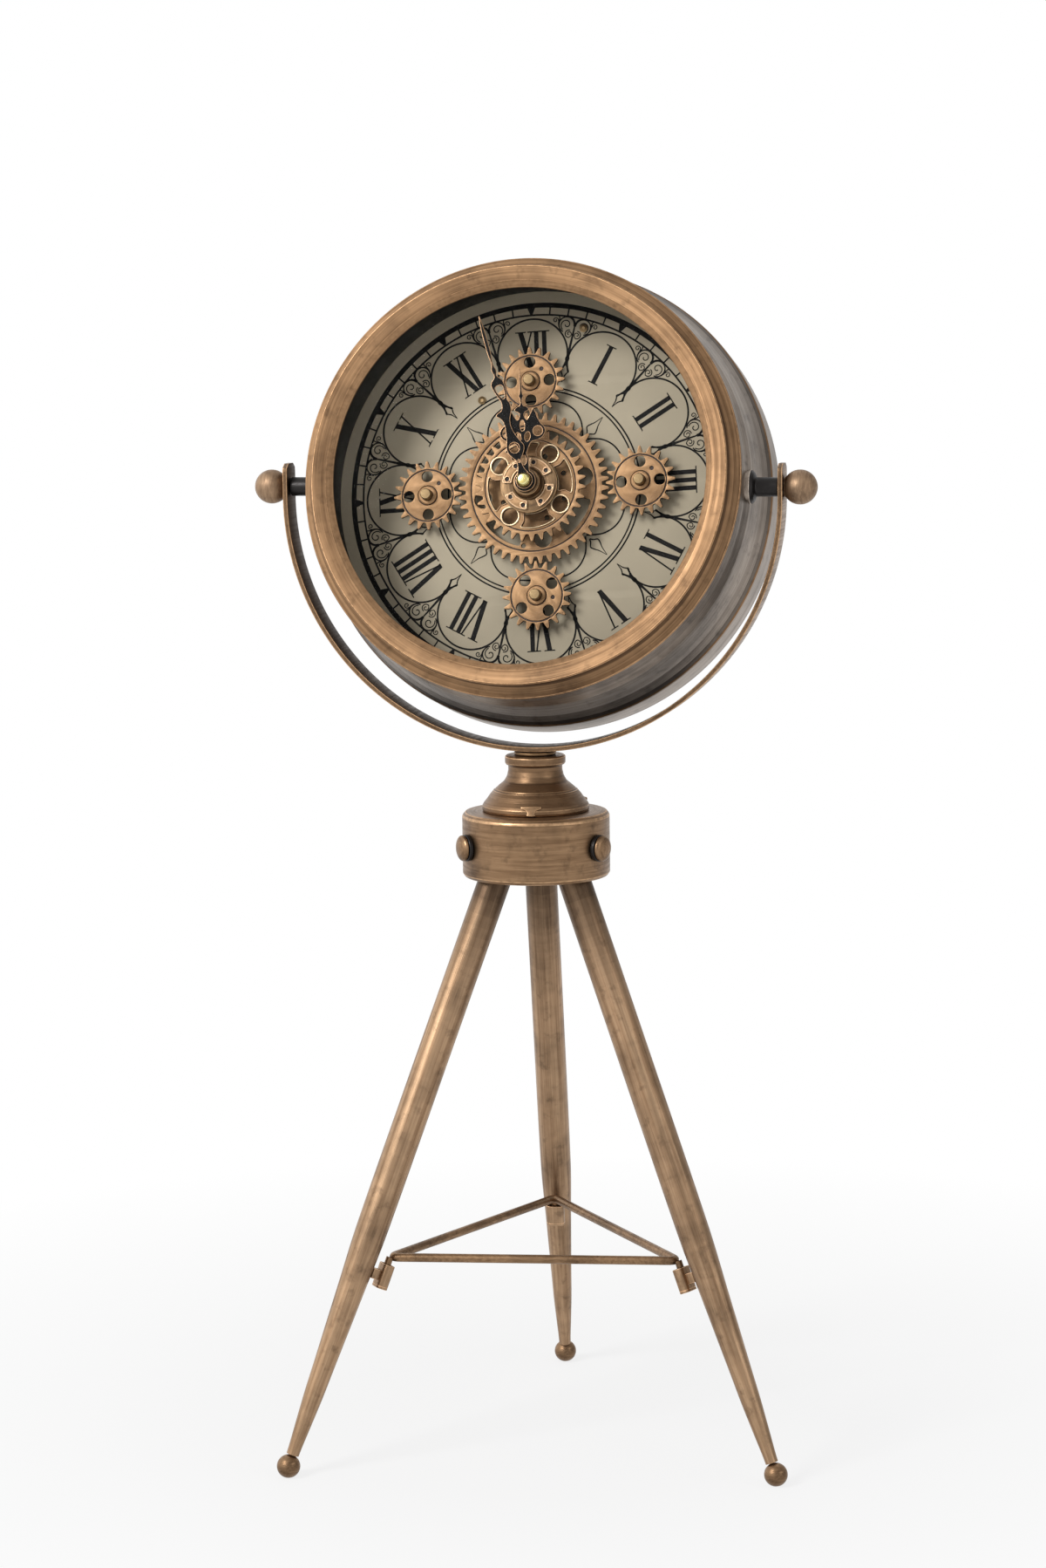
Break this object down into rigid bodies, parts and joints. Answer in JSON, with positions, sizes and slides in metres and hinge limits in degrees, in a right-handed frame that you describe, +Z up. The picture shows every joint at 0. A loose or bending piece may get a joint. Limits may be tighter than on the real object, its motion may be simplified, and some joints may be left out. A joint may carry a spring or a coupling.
{
  "type": "tripod table clock",
  "caption": "Table clock in a drum case that tilts in a yoke on a legged stand, with an open gear train in front of its dial.",
  "frame": {"origin": "the middle of the bounding box, on the surface that the feet stand on", "axes": "+Z up; the dial faces -Y, turned 7.5 degrees toward -X and leaning back 13.8 degrees; the back leg points along +Y"},
  "size_m": [0.2636, 0.206, 0.5578],
  "materials": {
    "copper_steel": "brushed steel with antique copper plating, bright on worn edges",
    "copper_cast": "turned light alloy with antique copper plating, bright on worn edges",
    "dark_bronze": "spun light alloy with dark bronze plating",
    "black_steel": "blackened steel",
    "black_paint": "matte black paint",
    "hand_metal": "black paint, worn to copper on the edges",
    "dial_paint": "matte greige paint with black print",
    "gear_copper": "copper-coloured lacquer",
    "polished_brass": "polished",
    "black_plastic": "moulded",
    "battery_sleeve": "printed sleeve, left plain",
    "clear_glass": "clear, polished"
  },
  "bodies": {
    "stand": {"hub_collar": "copper_cast", "pedestal": "copper_cast", "brace": "copper_steel", "leg_left": "copper_steel", "leg_right": "copper_steel", "leg_back": "copper_steel", "foot_left": "copper_steel", "foot_right": "copper_steel", "foot_back": "copper_steel", "leg_bolt_left": "copper_steel", "leg_bolt_right": "copper_steel", "leg_bolt_back": "copper_steel", "leg_bolt_washer_left": "black_steel", "leg_bolt_washer_right": "black_steel", "leg_bolt_washer_back": "black_steel", "brace_cup_left": "copper_steel", "brace_cup_right": "copper_steel", "brace_cup_back": "copper_steel"},
    "yoke": {"yoke": "copper_steel", "swivel_stud": "copper_steel", "swivel_nut": "black_steel"},
    "head": {"pivot_bushing_left": "black_steel", "pivot_bushing_right": "black_steel", "case_shell": "dark_bronze", "bezel": "copper_cast", "glass": "clear_glass", "inner_ring": "black_paint", "dial": "dial_paint", "dial_screw_left": "polished_brass", "dial_screw_right": "polished_brass", "movement_case": "black_plastic", "movement_bushing": "polished_brass", "movement_battery": "battery_sleeve", "gear_motor_case": "black_plastic", "gear_motor_battery": "battery_sleeve", "gear_post_right": "polished_brass", "gear_post_bottom": "polished_brass", "gear_post_left": "polished_brass", "back_cover": "black_paint", "back_cover_screw_1": "black_steel", "back_cover_screw_2": "black_steel", "back_cover_screw_3": "black_steel"},
    "knob_left": {"knob_left": "copper_cast"},
    "knob_right": {"knob_right": "copper_cast"},
    "gear_cluster": {"main_gear": "gear_copper", "upper_gear": "gear_copper", "gear_sleeve": "polished_brass", "hub_plate": "gear_copper", "hub_cone": "gear_copper"},
    "gear_top": {"gear_top": "gear_copper", "motor_shaft": "polished_brass"},
    "gear_right": {"gear_right": "gear_copper"},
    "gear_bottom": {"gear_bottom": "gear_copper"},
    "gear_left": {"gear_left": "gear_copper"},
    "minute_hand": {"minute_hand": "hand_metal", "minute_arbor": "polished_brass", "cap_nut": "polished_brass"},
    "hour_hand": {"hour_hand": "hand_metal", "hour_arbor": "black_steel"},
    "set_knob": {"set_knob": "black_plastic"}
  },
  "joints": [
    {"name": "head_swivel", "type": "hinge", "parent": "stand", "child": "yoke", "pos_m": [0, -0.03247, 0.3304], "axis": [0, 0, 1], "continuous": true},
    {"name": "head_tilt", "type": "hinge", "parent": "yoke", "child": "head", "pos_m": [0, -0.03247, 0.4533], "axis": [0.9915, -0.1302, 0], "range_deg": [-28, 62]},
    {"name": "knob_left_turn", "type": "hinge", "parent": "head", "child": "knob_left", "pos_m": [-0.11898, -0.01685, 0.4533], "axis": [-0.9915, 0.1302, 0], "range_deg": [0, 360]},
    {"name": "knob_right_turn", "type": "hinge", "parent": "head", "child": "knob_right", "pos_m": [0.11898, -0.04809, 0.4533], "axis": [0.9915, -0.1302, 0], "range_deg": [0, 360]},
    {"name": "gear_cluster_spin", "type": "hinge", "parent": "head", "child": "gear_cluster", "pos_m": [0.00126, -0.02284, 0.45091], "axis": [-0.1264, -0.9629, 0.2385], "continuous": true},
    {"name": "gear_top_spin", "type": "hinge", "parent": "head", "child": "gear_top", "pos_m": [-0.00074, -0.0105, 0.49966], "axis": [-0.1264, -0.9629, 0.2385], "continuous": true},
    {"name": "gear_right_spin", "type": "hinge", "parent": "head", "child": "gear_right", "pos_m": [0.05114, -0.02852, 0.45441], "axis": [-0.1264, -0.9629, 0.2385], "continuous": true},
    {"name": "gear_bottom_spin", "type": "hinge", "parent": "head", "child": "gear_bottom", "pos_m": [0.00327, -0.03518, 0.40217], "axis": [-0.1264, -0.9629, 0.2385], "continuous": true},
    {"name": "gear_left_spin", "type": "hinge", "parent": "head", "child": "gear_left", "pos_m": [-0.04861, -0.01716, 0.44742], "axis": [-0.1264, -0.9629, 0.2385], "continuous": true},
    {"name": "minute_hand_turn", "type": "hinge", "parent": "head", "child": "minute_hand", "pos_m": [0.00126, -0.02284, 0.45091], "axis": [-0.1264, -0.9629, 0.2385], "continuous": true},
    {"name": "hour_hand_turn", "type": "hinge", "parent": "head", "child": "hour_hand", "pos_m": [0.00126, -0.02284, 0.45091], "axis": [-0.1264, -0.9629, 0.2385], "continuous": true},
    {"name": "set_knob_turn", "type": "hinge", "parent": "head", "child": "set_knob", "pos_m": [0.00852, -0.03103, 0.46361], "axis": [-0.1264, -0.9629, 0.2385], "continuous": true}
  ],
  "couplings": [
    {"joint": "gear_top_spin", "follows": "gear_cluster_spin", "ratio": -2.4},
    {"joint": "gear_right_spin", "follows": "gear_cluster_spin", "ratio": -2.4},
    {"joint": "gear_bottom_spin", "follows": "gear_cluster_spin", "ratio": -2.4},
    {"joint": "gear_left_spin", "follows": "gear_cluster_spin", "ratio": -2.4},
    {"joint": "hour_hand_turn", "follows": "minute_hand_turn", "ratio": 0.083333},
    {"joint": "set_knob_turn", "follows": "minute_hand_turn", "ratio": -0.33333}
  ]
}
